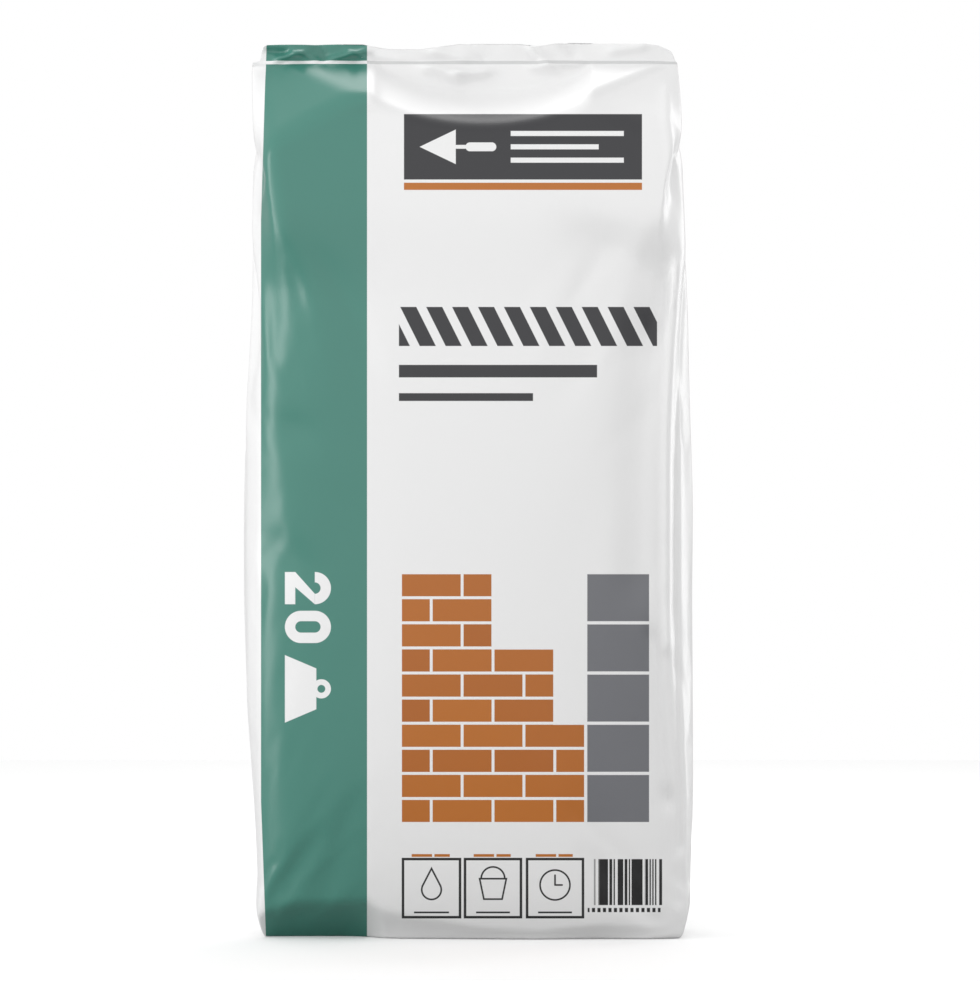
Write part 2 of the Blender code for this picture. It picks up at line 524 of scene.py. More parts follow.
@dataclass
class FilmSack:
    """The sack: film panels laid out on the filled shape, settled as cloth under the fill, and finished.

    A point's spot on the film is its place across and through, from -1 to 1, and its height as laid out.
    """

    sizes: SackSizes
    form: FilledForm
    columns: int = 60
    gusset_columns: int = 24
    rows: int = 112
    fin_rows: int = 5
    settle_frames: int = 30
    hold: float = 0.08
    pressure: float = 4.0
    full_to: float = 0.505
    slack_band: float = 0.050
    bend: float = 0.5
    stretch: float = 40.0
    crowding: float = 0.18
    depth_share: float = 0.848
    tucked_from: float = 0.400
    print_depth: float = 0.057
    held_edge: float = 0.004
    under_weld: float = 0.0015
    guide_side: float = 0.145
    guide_height: float = 0.46
    guide_size: Place = (0.14, 0.24)
    guide_thickness: float = 0.0008
    turn_to: float = 0.06
    tucked_plies: float = 3.0
    mouth_clear: float = 0.0006
    mouth_half_width: float = 0.62
    mouth_end_rise: float = 12.0
    mouth_side_rise: float = 3.0
    print_free: float = 0.014
    print_blend: float = 0.010
    length_steps: int = 400
    panels: tuple[PanelForm, ...] = ()
    parts: list[bpy.types.Object] = field(default_factory=list)

    def heights(self) -> np.ndarray:
        """Heights of the mesh rows, even up the body and closer at the weld and in the fin.

        Returns:
            The rows' heights, lowest first.
        """
        weld = self.sizes.weld_height
        shares = closer_at_ends(np.linspace(-1.0, 1.0, self.rows), self.crowding)
        body = 0.5 * (weld - 2.0 * self.under_weld) * (shares + 1.0)
        fin = np.linspace(weld, self.sizes.height, self.fin_rows + 1)
        return np.concatenate([body, [weld - self.under_weld], fin])

    def film_length(self, height: np.ndarray) -> np.ndarray:
        """Length of film from the base up to a height, measured up the front's middle.

        Args:
            height: Heights above the floor.

        Returns:
            The length at each height.
        """
        fine = np.linspace(0.0, self.sizes.weld_height, self.length_steps)
        line = self.form.place(np.zeros_like(fine), -np.ones_like(fine), fine)
        steps = np.linalg.norm(np.diff(line, axis=0), axis=1)
        length = np.concatenate([[0.0], np.cumsum(steps)])
        over = np.maximum(height - self.sizes.weld_height, 0.0)
        return np.interp(height, fine, length) + over

    def fin_place(self, across: np.ndarray, through: np.ndarray, height: np.ndarray) -> np.ndarray:
        """Points of the closed, flat fin and weld before any crumpling.

        Args:
            across: From -1 at the left fold to 1 at the right.
            through: From -1 at the front to 1 at the back.
            height: Heights above the floor.

        Returns:
            The points, one row each.
        """
        risen = np.maximum(height - self.sizes.weld_height, 0.0) / self.sizes.fin_height
        width = self.sizes.weld_half_width - self.sizes.fin_end_slope * risen
        tuck = 0.5 * self.sizes.gusset_width * (1 - np.abs(through))
        x = across * width - self.sizes.near_folds(across) * tuck
        y = through * self.sizes.closed_plies * self.sizes.ply_thickness
        return np.stack([x, y, height], -1)

    def place(self, across: np.ndarray, through: np.ndarray, height: np.ndarray) -> np.ndarray:
        """Points of the laid-out film: the filled shape below the weld and the flat fin above it.

        Args:
            across: From -1 at the left fold to 1 at the right.
            through: From -1 at the front to 1 at the back.
            height: Heights above the floor.

        Returns:
            The points, one row each.
        """
        below = self.form.place(across, through, np.minimum(height, self.sizes.weld_height))
        above = self.fin_place(across, through, height)
        return np.where((height >= self.sizes.weld_height - 1e-6)[..., None], above, below)

    def flat_place(self, across: np.ndarray, through: np.ndarray, height: np.ndarray) -> np.ndarray:
        """Points of the same film pressed flat as a gusseted tube, which sets its true lengths.

        Args:
            across: From -1 at the left fold to 1 at the right.
            through: From -1 at the front to 1 at the back.
            height: Heights above the floor.

        Returns:
            The points, one row each.
        """
        tuck = 0.5 * self.sizes.gusset_width * (1 - np.abs(through))
        x = across * self.sizes.panel_half_width - self.sizes.near_folds(across) * tuck
        y = through * self.sizes.closed_plies * self.sizes.ply_thickness
        return np.stack([x, y, self.film_length(height)], -1)

    def add_panel(self, name: str, cells: tuple[int, int], spread: Spread) -> None:
        """Adds one film panel as a grid.

        Args:
            name: The panel's name.
            cells: Cells along the grid's two sides.
            spread: Gives across, through and height for each point from its two grid shares, -1 to 1.
        """
        bpy.ops.object.select_all(action="DESELECT")
        bpy.ops.mesh.primitive_grid_add(x_subdivisions=cells[0], y_subdivisions=cells[1], size=2.0)
        panel = bpy.context.object
        panel.name = name
        mesh = panel.data
        shares = np.empty(len(mesh.vertices) * 3, np.float32)
        mesh.vertices.foreach_get("co", shares)
        shares = shares.reshape(-1, 3).astype(float)
        across, through, height = spread(shares[:, 0], shares[:, 1])
        across = closer_at_ends(across, self.crowding)
        mesh.vertices.foreach_set("co", self.place(across, through, height).astype(np.float32).ravel())
        spot = mesh.attributes.new("film_spot", "FLOAT_VECTOR", "POINT")
        spot.data.foreach_set("vector", np.stack([across, through, height], -1).astype(np.float32).ravel())
        self.parts.append(panel)

    def lay_out(self) -> bpy.types.Object:
        """Builds the closed film sack from its panels, joined and merged at the folds.

        Returns:
            The closed film, not settled yet.
        """
        rows = self.heights()
        steps = len(rows) - 1
        whole = np.ones_like
        side = (self.columns, steps)
        gusset = (self.gusset_columns, steps)
        floor = (self.columns, self.gusset_columns)

        def level(share: np.ndarray) -> np.ndarray:
            """Heights of the rows at their grid shares."""
            return rows[np.round((share + 1) * steps / 2).astype(int)]

        self.add_panel("front", side, lambda s, t: (s, -whole(s), level(t)))
        self.add_panel("back", side, lambda s, t: (-s, whole(s), level(t)))
        self.add_panel("right", gusset, lambda s, t: (whole(s), s, level(t)))
        self.add_panel("left", gusset, lambda s, t: (-whole(s), -s, level(t)))
        self.add_panel("base", floor, lambda s, t: (s, -t, 0 * s))
        self.add_panel("mouth", floor, lambda s, t: (s, t, 0 * s + rows[-1]))
        bpy.ops.object.select_all(action="DESELECT")
        for panel in self.parts:
            panel.select_set(True)
        bpy.context.view_layer.objects.active = self.parts[0]
        bpy.ops.object.join()
        bpy.ops.object.mode_set(mode="EDIT")
        bpy.ops.mesh.select_all(action="SELECT")
        bpy.ops.mesh.remove_doubles(threshold=0.00001)
        bpy.ops.object.mode_set(mode="OBJECT")
        sack = bpy.context.object
        sack.name = "film_sack"
        return sack

    @staticmethod
    def points(mesh: bpy.types.Mesh) -> np.ndarray:
        """The mesh's points as an array.

        Args:
            mesh: The film's mesh.

        Returns:
            The points, one row each.
        """
        found = np.empty(len(mesh.vertices) * 3, np.float32)
        mesh.vertices.foreach_get("co", found)
        return found.reshape(-1, 3).astype(float)

    @staticmethod
    def spots(mesh: bpy.types.Mesh) -> np.ndarray:
        """Each point's place on the film: across, through and height.

        Args:
            mesh: The film's mesh.

        Returns:
            The places, one row for each point.
        """
        found = np.empty(len(mesh.vertices) * 3, np.float32)
        mesh.attributes["film_spot"].data.foreach_get("vector", found)
        return found.reshape(-1, 3).astype(float)

    def settle(self, sack: bpy.types.Object) -> bpy.types.Object:
        """Lets the film settle as cloth, pressed out by the fill and held at the weld and the base.

        Args:
            sack: The laid-out film.

        Returns:
            The settled film as a new object.
        """
        mesh = sack.data
        spot = self.spots(mesh)
        laid = self.points(mesh)
        flat = self.flat_place(spot[:, 0], spot[:, 1], spot[:, 2])
        sack.shape_key_add(name="Basis")
        key = sack.shape_key_add(name="pressed_flat")
        key.data.foreach_set("co", flat.astype(np.float32).ravel())
        key.value = 0.0
        hold = np.full(len(laid), self.hold)
        hold[spot[:, 2] > self.sizes.weld_height - self.held_edge] = 1.0
        hold[spot[:, 2] < self.held_edge] = 1.0
        group = sack.vertex_groups.new(name="held")
        for weight in np.unique(hold):
            group.add(np.nonzero(hold == weight)[0].tolist(), float(weight), "REPLACE")
        slack = smooth_step((self.full_to + self.slack_band - spot[:, 2]) / self.slack_band)
        pressed = sack.vertex_groups.new(name="pressed")
        for share in np.unique(np.round(slack, 2)):
            pressed.add(np.nonzero(np.abs(slack - share) < 0.0051)[0].tolist(), float(share), "REPLACE")
        cloth = sack.modifiers.new("film", "CLOTH")
        film = cloth.settings
        film.vertex_group_pressure = "pressed"
        film.vertex_group_mass = "held"
        film.quality = 6
        film.mass = 0.3
        film.tension_stiffness = film.compression_stiffness = self.stretch
        film.shear_stiffness = 20
        film.bending_stiffness = self.bend
        film.tension_damping = film.compression_damping = film.shear_damping = 10
        film.bending_damping = 1
        film.air_damping = 5
        film.use_pressure = True
        film.uniform_pressure_force = self.pressure
        film.effector_weights.gravity = 0
        film.rest_shape_key = key
        cloth.collision_settings.use_self_collision = False
        cloth.collision_settings.distance_min = 0.001
        guides = [self.add_guide(-1), self.add_guide(1)]
        cloth.point_cache.frame_start = 1
        cloth.point_cache.frame_end = self.settle_frames
        for step in range(1, self.settle_frames + 1):
            bpy.context.scene.frame_set(step)
        seen = sack.evaluated_get(bpy.context.evaluated_depsgraph_get())
        settled = bpy.data.objects.new("sack_film", bpy.data.meshes.new_from_object(seen))
        bpy.context.scene.collection.objects.link(settled)
        for done in (sack, *guides):
            bpy.data.objects.remove(done)
        bpy.context.scene.frame_set(1)
        return settled

    def add_guide(self, side: int) -> bpy.types.Object:
        """A thin wall in the middle plane that keeps a gusset's two halves apart under the weld.

        Args:
            side: -1 for the left gusset, 1 for the right.

        Returns:
            The wall.
        """
        bpy.ops.object.select_all(action="DESELECT")
        middle = (side * self.guide_side, 0.0, self.guide_height)
        bpy.ops.mesh.primitive_plane_add(size=1.0, location=middle, rotation=(math.pi / 2, 0.0, 0.0))
        guide = bpy.context.object
        guide.scale = (*self.guide_size, 1.0)
        guide.modifiers.new("wall", "COLLISION")
        guide.collision.thickness_outer = guide.collision.thickness_inner = self.guide_thickness
        guide.collision.cloth_friction = 0.0
        return guide

    def open_gussets(self, film: bpy.types.Object) -> None:
        """Opens both gussets evenly about the middle plane, with the back standing out as the front does.

        Args:
            film: The settled film.
        """
        points, spot = self.points(film.data), self.spots(film.data)
        keys = [
            (round(across * 1e4), round(through * 1e4), round(height * 1e5))
            for across, through, height in spot
        ]
        found = {key: i for i, key in enumerate(keys)}
        middle = np.array([found.get((across, 0, height), -1) for across, _, height in keys])
        gusset = (np.abs(spot[:, 0]) > AT_FOLD) & (spot[:, 2] > HAIR) & (middle >= 0)
        drift = points[middle, 1] * gusset * (1.0 - np.abs(spot[:, 1]))
        points[:, 1] -= drift
        ahead = np.array([found[(across, -abs(through), height)] for across, through, height in keys])
        behind = spot[:, 1] > 0.0
        points[behind] = points[ahead[behind]] * (1.0, -1.0, 1.0)
        points[:, 1] *= self.depth_share
        film.data.vertices.foreach_set("co", points.astype(np.float32).ravel())
        film.data.update()

    def finish_surface(self, sack: bpy.types.Object) -> None:
        """Rounds the settled film with one subdivision, applied.

        Args:
            sack: The settled film.
        """
        bpy.ops.object.select_all(action="DESELECT")
        sack.select_set(True)
        bpy.context.view_layer.objects.active = sack
        rounding = sack.modifiers.new("rounding", "SUBSURF")
        rounding.levels = rounding.render_levels = 1
        bpy.ops.object.modifier_apply(modifier=rounding.name)
        bpy.ops.object.shade_smooth()

    def shape_panel(self, points: np.ndarray, spot: np.ndarray, panel: PanelForm) -> None:
        """Gives one big panel its shoulder, its creases and the turn at its foot.

        Args:
            points: The film's points, moved in place.
            spot: Each point's place on the film.
            panel: The panel's forms.
        """
        body = spot[:, 2] < self.sizes.weld_height + HAIR
        on_panel = body & (spot[:, 1] * panel.facing > ON_PANEL)
        beside = body & (spot[:, 1] * panel.facing > 0.0) & ~on_panel
        creased = sum(crease.rise(points[beside, 0], points[beside, 2]) for crease in panel.creases)
        points[beside, 1] += panel.facing * creased * smooth_step(spot[beside, 1] * panel.facing)
        x, y, z = points[on_panel].T
        across = np.abs(spot[on_panel, 0])
        depth = y * panel.facing
        away_from_folds = smooth_step((1.0 - across) / panel.edge_share)
        near_top = smooth_step((z - panel.shoulder_to) / panel.shoulder_blend)
        wanted = panel.shoulder.depth(x, z)
        shaped = depth + (wanted - depth) * near_top * away_from_folds * panel.shoulder_share
        for crease in panel.creases:
            under_weld = smooth_step((self.sizes.weld_height - z) / panel.crease_end)
            shaped = shaped + crease.rise(x, z) * under_weld
        turned = np.minimum(shaped, panel.bottom.depth(x, z, shaped))
        points[on_panel, 1] = panel.facing * turned
        low = z < self.turn_to
        ratio = np.where(low, turned / np.where(low, shaped, 1.0), 1.0)
        self.draw_along(points, spot, on_panel, beside, ratio)
        self.keep_inside(points, spot, on_panel, beside, panel.facing)

    def keep_inside(
        self, points: np.ndarray, spot: np.ndarray, on_panel: np.ndarray, beside: np.ndarray, facing: int
    ) -> None:
        """Keeps the tucked gussets behind the panel that they lie under.

        Args:
            points: The film's points, moved in place.
            spot: Each point's place on the film.
            on_panel: Which points are the panel's.
            beside: Which points belong to the panel's half of the gussets and base.
            facing: -1 for the front, 1 for the back.
        """
        row = np.round(spot[:, 2] * 1e5).astype(int)
        in_gusset = beside & (np.abs(spot[:, 0]) > AT_FOLD) & (spot[:, 2] > self.tucked_from)
        order = np.argsort(row, kind="stable")
        edges = np.nonzero(np.diff(row[order]))[0] + 1
        for members in np.split(order, edges):
            tucked = members[in_gusset[members]]
            shown = members[on_panel[members]]
            if len(tucked) == 0 or len(shown) == 0:
                continue
            shown = shown[np.argsort(points[shown, 0])]
            limit = np.interp(points[tucked, 0], points[shown, 0], facing * points[shown, 1])
            from_fold = 1.0 - np.abs(spot[tucked, 1])
            room = self.tucked_plies * self.sizes.ply_thickness * np.minimum(from_fold * 10.0, 1.0)
            depth = np.minimum(facing * points[tucked, 1], np.maximum(limit - room, 0.0))
            points[tucked, 1] = facing * depth

    @staticmethod
    def draw_along(
        points: np.ndarray, spot: np.ndarray, on_panel: np.ndarray, beside: np.ndarray, ratio: np.ndarray
    ) -> None:
        """Draws the base and the gussets in with the foot of a panel that turned under.

        Args:
            points: The film's points, moved in place.
            spot: Each point's place on the film.
            on_panel: Which points are the panel's.
            beside: Which points belong to the panel's half of the gussets and base.
            ratio: How far in each of the panel's points was drawn, 1 for not at all.
        """
        across, height = spot[on_panel, 0], spot[on_panel, 2]
        foot = height < HAIR
        order = np.argsort(across[foot])
        base = beside & (spot[:, 2] < HAIR)
        points[base, 1] *= np.interp(spot[base, 0], across[foot][order], ratio[foot][order])
        for side in (-1.0, 1.0):
            fold = (side * across > AT_FOLD) & ~foot
            order = np.argsort(height[fold])
            gusset = beside & (side * spot[:, 0] > AT_FOLD) & (spot[:, 2] > HAIR)
            points[gusset, 1] *= np.interp(spot[gusset, 2], height[fold][order], ratio[fold][order])

    def shape(self, sack: bpy.types.Object) -> None:
        """Shapes the settled film's panels, fin and outline.

        Args:
            sack: The settled film.
        """
        points = self.points(sack.data)
        spot = self.spots(sack.data)
        for panel in self.panels:
            self.shape_panel(points, spot, panel)
        Outline().fit(points, self.sizes.weld_height)
        self.open_mouth(points, spot)
        FinForm(self.sizes).shape(points, spot)
        sack.data.vertices.foreach_set("co", points.astype(np.float32).ravel())
        self.set_print_place(points, spot)
        sack.data.attributes["film_spot"].data.foreach_set("vector", spot.astype(np.float32).ravel())
        sack.data.update()

    def set_print_place(self, points: np.ndarray, spot: np.ndarray) -> None:
        """Lets the print lie square and straight on the filled front, as seen from in front of it.

        Args:
            points: The finished film's points.
            spot: Each point's place on the film, changed in place on the front.
        """
        front = spot[:, 1] < -ON_PANEL
        outline = Outline()
        away = outline.viewing_distance
        nearer = (away - self.print_depth) / (away + points[front, 1])
        side, middle = outline.viewing_side, 0.5 * self.sizes.height
        across = side + (points[front, 0] - side) * nearer
        spot[front, 0] = across / self.sizes.panel_half_width
        laid = middle + (points[front, 2] - middle) * nearer
        from_weld = points[front, 2] - self.sizes.weld_height
        at_weld = smooth_step((from_weld + self.print_free) / self.print_blend)
        spot[front, 2] = laid + (spot[front, 2] - laid) * at_weld

    def open_mouth(self, points: np.ndarray, spot: np.ndarray) -> None:
        """Sinks the cover between the fin's plies down to the weld, so that the fin's mouth is open.

        Args:
            points: The film's points, moved in place.
            spot: Each point's place on the film.
        """
        mouth = (spot[:, 2] > self.sizes.height - 1e-5) & (np.abs(spot[:, 1]) < ON_PANEL)
        inward = np.clip((1.0 - np.abs(spot[:, 1])) * self.mouth_side_rise, 0.0, 1.0)
        clear = np.clip((self.mouth_half_width - np.abs(spot[:, 0])) * self.mouth_end_rise, 0.0, 1.0)
        sink = (self.sizes.fin_height - self.mouth_clear) * inward * clear
        points[mouth, 2] -= sink[mouth]

    def build(self) -> bpy.types.Object:
        """Makes the whole sack and tells the frame what it stands for.

        Returns:
            The finished film.
        """
        sack = self.settle(self.lay_out())
        self.open_gussets(sack)
        self.finish_surface(sack)
        self.shape(sack)
        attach(sack, "root")
        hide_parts(SACK_NODE)
        return sack


class Ink(Enum):
    """The print's inks as linear colours, and the grey of the weld line, which is painted shade."""

    GREEN = (0.054, 0.217, 0.172)
    ORANGE = (0.480, 0.145, 0.010)
    RUST = (0.405, 0.112, 0.007)
    CHARCOAL = (0.024, 0.024, 0.028)
    BLACK = (0.004, 0.004, 0.005)
    GREY = (0.156, 0.160, 0.175)
    # The weld line's grey is painted shade: on the bare film it stands for the shade in the weld's groove.
    WELD = (0.620, 0.625, 0.625)
    BARE = (0.840, 0.840, 0.840)

    @property
    def opaque(self) -> Colour:
        """The ink as a node's colour."""
        return (*self.value, 1.0)


class Drawing:
    """Draws flat shapes with a material's nodes.

    A shape is a socket with the signed distance to its edge in metres, below 0 inside.
    """

    def __init__(self, tree: bpy.types.NodeTree, place: Socket) -> None:
        """Starts a drawing.

        Args:
            tree: The material's nodes.
            place: The place across and up, in metres.
        """
        self.tree = tree
        self.place = place

    def node(
        self, kind: str, operation: str, values: tuple[Socket | Point | float, ...], clamp: bool = False
    ) -> bpy.types.Node:
        """Adds a maths node and gives it its values, each a socket, a number or a triple.

        Args:
            kind: The node's type.
            operation: What it works out.
            values: Its inputs in order.
            clamp: Whether the result is kept between 0 and 1.

        Returns:
            The node.
        """
        node = self.tree.nodes.new(kind)
        node.operation = operation
        if clamp:
            node.use_clamp = True
        for socket, value in zip(node.inputs, values):
            if isinstance(value, Socket):
                self.tree.links.new(value, socket)
            else:
                socket.default_value = value
        return node

    def number(self, operation: str, *values: Socket | float, clamp: bool = False) -> Socket:
        """The result of a maths operation on numbers."""
        return self.node("ShaderNodeMath", operation, values, clamp).outputs["Value"]

    def vector(self, operation: str, *values: Socket | Point) -> Socket:
        """The result of a maths operation on places that gives a place."""
        return self.node("ShaderNodeVectorMath", operation, values).outputs["Vector"]

    def measure(self, operation: str, *values: Socket | Point) -> Socket:
        """The result of a maths operation on places that gives a number."""
        return self.node("ShaderNodeVectorMath", operation, values).outputs["Value"]

    def parts(self, place: Socket) -> tuple[Socket, Socket]:
        """The two numbers of a place.

        Args:
            place: The place.

        Returns:
            Its numbers across and up.
        """
        split = self.tree.nodes.new("ShaderNodeSeparateXYZ")
        self.tree.links.new(place, split.inputs[0])
        return split.outputs[0], split.outputs[1]

    def join(self, across: Socket, up: Socket) -> Socket:
        """A place from its two numbers.

        Args:
            across: The number across.
            up: The number up.

        Returns:
            The place.
        """
        both = self.tree.nodes.new("ShaderNodeCombineXYZ")
        self.tree.links.new(across, both.inputs[0])
        self.tree.links.new(up, both.inputs[1])
        return both.outputs[0]

    def box(self, left: float, low: float, right: float, high: float) -> Socket:
        """A rectangle by its sides.

        Args:
            left: Its left side.
            low: Its lower side.
            right: Its right side.
            high: Its upper side.

        Returns:
            The shape.
        """
        centre = ((left + right) / 2, (low + high) / 2, 0.0)
        half = ((right - left) / 2, (high - low) / 2, 0.0)
        away = self.vector("ABSOLUTE", self.vector("SUBTRACT", self.place, centre))
        return self.number("MAXIMUM", *self.parts(self.vector("SUBTRACT", away, half)))

    def disc(self, across: float, up: float, radius: float) -> Socket:
        """A disc by its centre and radius."""
        return self.number("SUBTRACT", self.measure("DISTANCE", self.place, (across, up, 0.0)), radius)

    def bar(self, start: Place, end: Place, half_width: float) -> Socket:
        """A round-ended stroke between two points.

        Args:
            start: Where it starts.
            end: Where it ends.
            half_width: Half of its width.

        Returns:
            The shape.
        """
        run = (end[0] - start[0], end[1] - start[1], 0.0)
        length = run[0] ** 2 + run[1] ** 2
        away = self.vector("SUBTRACT", self.place, (*start, 0.0))
        share = self.number("DIVIDE", self.measure("DOT_PRODUCT", away, run), length, clamp=True)
        nearest = self.node("ShaderNodeVectorMath", "SCALE", (run,))
        self.tree.links.new(share, nearest.inputs["Scale"])
        gap = self.measure("DISTANCE", away, nearest.outputs["Vector"])
        return self.number("SUBTRACT", gap, half_width)

    def convex(self, *corners: Place) -> Socket:
        """A convex polygon by its corners, anticlockwise.

        Args:
            corners: The corners in order.

        Returns:
            The shape.
        """
        shape = None
        for here, after in zip(corners, corners[1:] + corners[:1]):
            side = (after[0] - here[0], after[1] - here[1])
            length = math.hypot(*side)
            outward = (side[1] / length, -side[0] / length, 0.0)
            reach = outward[0] * here[0] + outward[1] * here[1]
            edge = self.number("SUBTRACT", self.measure("DOT_PRODUCT", self.place, outward), reach)
            shape = edge if shape is None else self.number("MAXIMUM", shape, edge)
        return shape

    def both(self, *shapes: Socket) -> Socket:
        """Several shapes as one.

        Args:
            shapes: The shapes.

        Returns:
            The joined shape.
        """
        joined = shapes[0]
        for shape in shapes[1:]:
            joined = self.number("MINIMUM", joined, shape)
        return joined

    def within(self, first: Socket, second: Socket) -> Socket:
        """The part of one shape that lies in another."""
        return self.number("MAXIMUM", first, second)

    def outline(self, shape: Socket, half_width: float) -> Socket:
        """A stroke along a shape's edge."""
        return self.number("SUBTRACT", self.number("ABSOLUTE", shape), half_width)

    def cover(self, shape: Socket, edge: float = 0.0003) -> Socket:
        """How much of the ink covers a place, 1 inside the shape and 0 outside it."""
        return self.number("MULTIPLY_ADD", shape, -1.0 / edge, 0.5, clamp=True)

    def lay(self, under: Socket, cover: Socket, over: Socket | Ink) -> Socket:
        """Lays one colour over another.

        Args:
            under: The colour below.
            cover: How much of the upper colour shows.
            over: The upper colour, an ink or a socket.

        Returns:
            The mixed colour.
        """
        mix = self.tree.nodes.new("ShaderNodeMix")
        mix.data_type = "RGBA"
        self.tree.links.new(cover, mix.inputs["Factor"])
        self.tree.links.new(under, mix.inputs["A"])
        if isinstance(over, Ink):
            mix.inputs["B"].default_value = over.opaque
        else:
            self.tree.links.new(over, mix.inputs["B"])
        return mix.outputs["Result"]


@dataclass(frozen=True)
class Print:
    """The front's generic print, by places in metres across and up.

    A box is its left, low, right and high sides.
    """

    panel_half_width: float
    weld_height: float
    weld_line: float = 0.0011
    front_from: float = -0.97
    beyond: Box = (-0.2, -0.1, 0.2, 1.0)
    band: Place = (-0.1312, -0.0637)
    band_head: Place = (0.46, 0.030)
    band_foot: Place = (0.09, 0.036)
    plate: Box = (-0.0402, 0.4860, 0.1114, 0.5277)
    plate_strip: Box = (-0.0402, 0.4794, 0.1114, 0.4840)
    blade: tuple[Place, ...] = ((0.0100, 0.0), (0.0330, -0.0110), (0.0330, 0.0110))
    handle: tuple[Point, ...] = ((0.0330, 0.0390, 0.0012), (0.0420, 0.0560, 0.0028))
    plate_lines: Stops = ((0.0085, 0.0720), (0.0, 0.0560), (-0.0085, 0.0720))
    plate_lines_start: float = 0.0680
    plate_line: float = 0.0016
    stripes: Box = (-0.0434, 0.3800, 0.1210, 0.4049)
    stripe_pitch: float = 0.0165
    stripe_slant: float = 0.5
    stripe_gap: float = 0.31
    bar_rows: tuple[Box, ...] = ((-0.0434, 0.3600, 0.0828, 0.3680), (-0.0434, 0.3450, 0.0420, 0.3500))
    wall: Place = (-0.0415, 0.0769)
    brick: Place = (0.03935, 0.01598)
    mortar: float = 0.002
    wall_steps: Stops = ((4, 3.0), (7, 2.5), (10, 1.5))
    pier_blocks: int = 5
    number_start: Place = (-0.1160, 0.2361)
    digit: Place = (0.0205, 0.0293)
    digit_gap: float = 0.0042
    digit_stroke: float = 0.0066
    weight_start: float = 0.0529
    sign_boxes: tuple[Place, ...] = ((-0.0408, -0.0045), (-0.0013, 0.0343), (0.0382, 0.0738))
    sign_rows: Place = (0.0163, 0.0533)
    sign_frame: float = 0.0008
    sign_stroke: float = 0.00055
    tab_rows: Place = (0.0014, 0.0032)
    fine_edge: float = 0.00025
    bars: Box = (0.0808, 0.0240, 0.1242, 0.0533)
    bar_slot: float = 0.00088
    bar_edge: float = 0.002
    bar_share: float = 0.55
    dash_pitch: float = 0.0035
    dash_half_width: float = 0.0010

    def colour(self, tree: bpy.types.NodeTree) -> Socket:
        """Draws the print over the bare film, and the weld line with its painted shade.

        Args:
            tree: The material's nodes.

        Returns:
            The film's colour.
        """
        spot = tree.nodes.new("ShaderNodeAttribute")
        spot.attribute_name = "film_spot"
        split = tree.nodes.new("ShaderNodeSeparateXYZ")
        tree.links.new(spot.outputs["Vector"], split.inputs[0])
        maths = Drawing(tree, spot.outputs["Vector"])
        across = maths.number("MULTIPLY", split.outputs[0], self.panel_half_width)
        front = maths.number("LESS_THAN", split.outputs[1], self.front_from)
        sheet = Drawing(tree, maths.join(across, split.outputs[2]))
        bare = tree.nodes.new("ShaderNodeRGB")
        bare.outputs[0].default_value = Ink.BARE.opaque
        printed = bare.outputs[0]
        for draw in (self.draw_band, self.draw_plate, self.draw_heading, self.draw_wall, self.draw_foot):
            printed = draw(sheet, printed)
        turned = sheet.join(
            sheet.number("SUBTRACT", self.number_start[1], split.outputs[2]),
            sheet.number("SUBTRACT", across, self.number_start[0]),
        )
        printed = self.draw_number(Drawing(tree, turned), printed)
        printed = sheet.lay(bare.outputs[0], front, printed)
        # The weld line all round the sack is left bare white over the green band, where the sealed film is
        # pale. Elsewhere it is painted grey, as painted shade for the weld's groove.
        line = sheet.number("ABSOLUTE", sheet.number("SUBTRACT", split.outputs[2], self.weld_height))
        line = sheet.cover(sheet.number("SUBTRACT", line, self.weld_line))
        left, low, _, high = self.beyond
        shaded_off_band = sheet.number("SUBTRACT", 1.0, sheet.cover(sheet.box(left, low, self.band[1], high)))
        weld = sheet.lay(bare.outputs[0], shaded_off_band, Ink.WELD)
        return sheet.lay(printed, line, weld)

    def draw_band(self, sheet: Drawing, under: Socket) -> Socket:
        """The green band down the whole left side, whose outer edge leans in at its head and foot.

        Args:
            sheet: The drawing of the front.
            under: The colour below.

        Returns:
            The colour with the band.
        """
        left, right = self.band
        band = sheet.box(left, self.beyond[1], right, self.beyond[3])
        across, up = sheet.parts(sheet.place)
        head, head_lean = self.band_head
        foot, foot_lean = self.band_foot
        above = sheet.number("MAXIMUM", sheet.number("SUBTRACT", up, head), 0.0)
        below = sheet.number("MAXIMUM", sheet.number("SUBTRACT", foot, up), 0.0)
        edge = sheet.number("MULTIPLY_ADD", above, head_lean, left)
        edge = sheet.number("MULTIPLY_ADD", below, foot_lean, edge)
        band = sheet.number("MAXIMUM", band, sheet.number("SUBTRACT", edge, across))
        return sheet.lay(under, sheet.cover(band), Ink.GREEN)

    def draw_plate(self, sheet: Drawing, under: Socket) -> Socket:
        """The plate at the head: a dark bar with a trowel and lines on it, and a strip beneath.

        Args:
            sheet: The drawing of the front.
            under: The colour below.

        Returns:
            The colour with the plate.
        """
        left, low, _, high = self.plate
        middle = (low + high) / 2
        dark = sheet.lay(under, sheet.cover(sheet.box(*self.plate)), Ink.CHARCOAL)
        dark = sheet.lay(dark, sheet.cover(sheet.box(*self.plate_strip)), Ink.ORANGE)
        blade = sheet.convex(*((left + across, middle + up) for across, up in self.blade))
        handle = [
            sheet.bar((left + begin, middle), (left + end, middle), half)
            for begin, end, half in self.handle
        ]
        begin, half = left + self.plate_lines_start, self.plate_line
        lines = [
            sheet.box(begin, middle + offset - half, begin + length, middle + offset + half)
            for offset, length in self.plate_lines
        ]
        white = sheet.cover(sheet.both(blade, *handle, *lines))
        return sheet.lay(dark, white, Ink.BARE)

